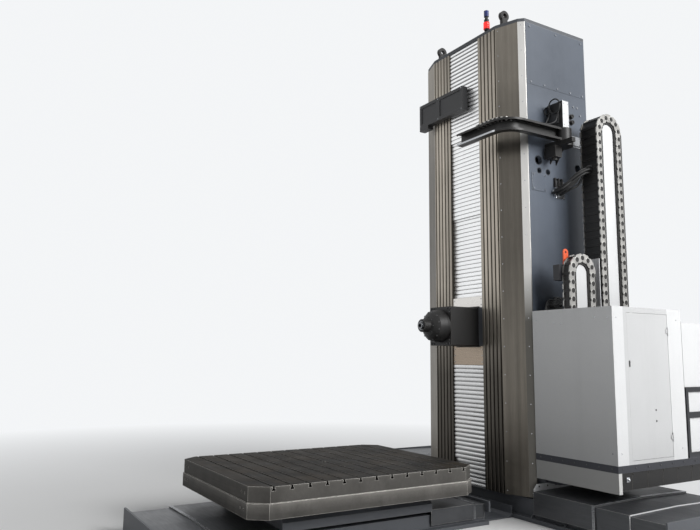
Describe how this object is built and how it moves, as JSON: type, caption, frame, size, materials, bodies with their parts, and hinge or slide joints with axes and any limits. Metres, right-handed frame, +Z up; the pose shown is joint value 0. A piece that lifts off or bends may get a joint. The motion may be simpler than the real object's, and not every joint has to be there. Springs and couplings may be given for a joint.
{
  "type": "floor-type horizontal machining center",
  "caption": "Floor-type horizontal boring and milling machine: travelling column with slatted covers, ram headstock, rotary T-slot table, energy chains and a guarded platform.",
  "frame": {"origin": "on the floor, on the rotary table's turning axis", "axes": "+X along the column's bed to the platform's side, +Y from the table to the column, +Z up"},
  "size_m": [7.34, 8.97, 8.87],
  "materials": {
    "cast_grey": "painted dark grey casting",
    "table_iron": "machined grey iron, oiled",
    "ground_steel": "ground steel",
    "stainless_cover": "brushed stainless sheet, warm grey",
    "slat_steel": "bright brushed stainless slats",
    "way_steel": "dark oiled steel sheet",
    "column_paint": "dark blue-grey paint",
    "black_paint": "matt black paint",
    "box_grey": "dark grey powder coat",
    "frame_grey": "dark grey paint",
    "white_paint": "light grey-white powder coat",
    "chain_steel": "galvanised steel link plates",
    "hose_rubber": "matt black rubber",
    "lift_orange": "orange-red paint",
    "lens_red": "translucent red plastic",
    "lens_blue": "translucent blue plastic"
  },
  "bodies": {
    "root": {"column_bed": "cast_grey", "column_rails": "ground_steel", "column_screw": "ground_steel", "chip_trough": "cast_grey", "table_bed": "cast_grey", "table_rails": "ground_steel", "table_screw": "ground_steel", "way_cover_left_fixed": "way_steel", "way_cover_right_fixed": "way_steel", "table_cover_front_fixed": "way_steel", "table_cover_back_fixed": "way_steel"},
    "way_left_middle": {"way_cover_left_middle": "way_steel"},
    "way_right_middle": {"way_cover_right_middle": "way_steel"},
    "column": {"way_cover_left_riding": "way_steel", "way_cover_right_riding": "way_steel", "column_saddle": "cast_grey", "saddle_carriages": "ground_steel", "saddle_drive": "cast_grey", "column": "column_paint", "headstock_rails": "ground_steel", "headstock_screws": "ground_steel", "front_cover_left": "stainless_cover", "front_cover_right": "stainless_cover", "column_cap": "cast_grey", "beacon_body": "black_paint", "beacon_red_lens": "lens_red", "beacon_blue_lens": "lens_blue", "lifting_lugs": "black_paint", "upper_cover_fixed": "slat_steel", "lower_cover_fixed": "slat_steel", "lamp_box": "box_grey", "boom_bracket": "black_paint", "boom_drive": "black_paint", "service_platform": "frame_grey", "chain_enclosure": "white_paint", "rear_cabinet": "white_paint", "rear_cabinet_frame": "frame_grey", "chain_side_plates": "chain_steel", "chain_bands": "black_paint", "chain_guides": "white_paint", "hose_bundle": "hose_rubber", "lifting_plate": "lift_orange"},
    "upper_middle": {"upper_cover_middle": "slat_steel"},
    "lower_middle": {"lower_cover_middle": "slat_steel"},
    "headstock": {"headstock": "cast_grey", "ram_cover_plates": "slat_steel", "upper_cover_riding": "slat_steel", "lower_cover_riding": "slat_steel"},
    "ram": {"ram": "black_paint", "spindle_housing": "black_paint", "spindle_bearings": "ground_steel"},
    "spindle": {"spindle": "ground_steel"},
    "boom": {"boom_arm": "black_paint", "boom_plate": "black_paint"},
    "enclosure_door": {"enclosure_door": "white_paint"},
    "table_saddle": {"table_saddle": "cast_grey", "table_bearing": "ground_steel", "table_cover_front_riding": "way_steel", "table_cover_back_riding": "way_steel"},
    "rotary_table": {"rotary_table": "table_iron"}
  },
  "joints": [
    {"name": "column_travel", "type": "slide", "parent": "root", "child": "column", "axis": [1, 0, 0], "range_m": [-1.09, 1.09]},
    {"name": "way_left_follow", "type": "slide", "parent": "root", "child": "way_left_middle", "axis": [1, 0, 0], "range_m": [-0.545, 0.545]},
    {"name": "way_right_follow", "type": "slide", "parent": "root", "child": "way_right_middle", "axis": [1, 0, 0], "range_m": [-0.545, 0.545]},
    {"name": "headstock_travel", "type": "slide", "parent": "column", "child": "headstock", "axis": [0, 0, 1], "range_m": [-0.4, 2.7]},
    {"name": "upper_cover_follow", "type": "slide", "parent": "column", "child": "upper_middle", "axis": [0, 0, 1], "range_m": [-0.2, 1.35]},
    {"name": "lower_cover_follow", "type": "slide", "parent": "column", "child": "lower_middle", "axis": [0, 0, 1], "range_m": [-0.2, 1.35]},
    {"name": "ram_travel", "type": "slide", "parent": "headstock", "child": "ram", "axis": [0, -1, 0], "range_m": [-0.2, 0.7]},
    {"name": "spindle_turn", "type": "hinge", "parent": "ram", "child": "spindle", "pos_m": [0, 1.82, 3.04], "axis": [0, -1, 0], "continuous": true},
    {"name": "boom_swing", "type": "hinge", "parent": "column", "child": "boom", "pos_m": [1.61, 3.62, 6.2], "axis": [0, 0, 1], "range_deg": [0, 80]},
    {"name": "enclosure_door_swing", "type": "hinge", "parent": "column", "child": "enclosure_door", "pos_m": [2.887, 4.274, 2.15], "axis": [0, 0, 1], "range_deg": [0, 100]},
    {"name": "table_travel", "type": "slide", "parent": "root", "child": "table_saddle", "axis": [0, 1, 0], "range_m": [-0.59, 0.19]},
    {"name": "table_turn", "type": "hinge", "parent": "table_saddle", "child": "rotary_table", "pos_m": [0, 0, 0.55], "axis": [0, 0, 1], "continuous": true}
  ],
  "couplings": [
    {"joint": "way_left_follow", "follows": "column_travel", "ratio": 0.5},
    {"joint": "way_right_follow", "follows": "column_travel", "ratio": 0.5},
    {"joint": "upper_cover_follow", "follows": "headstock_travel", "ratio": 0.5},
    {"joint": "lower_cover_follow", "follows": "headstock_travel", "ratio": 0.5}
  ]
}
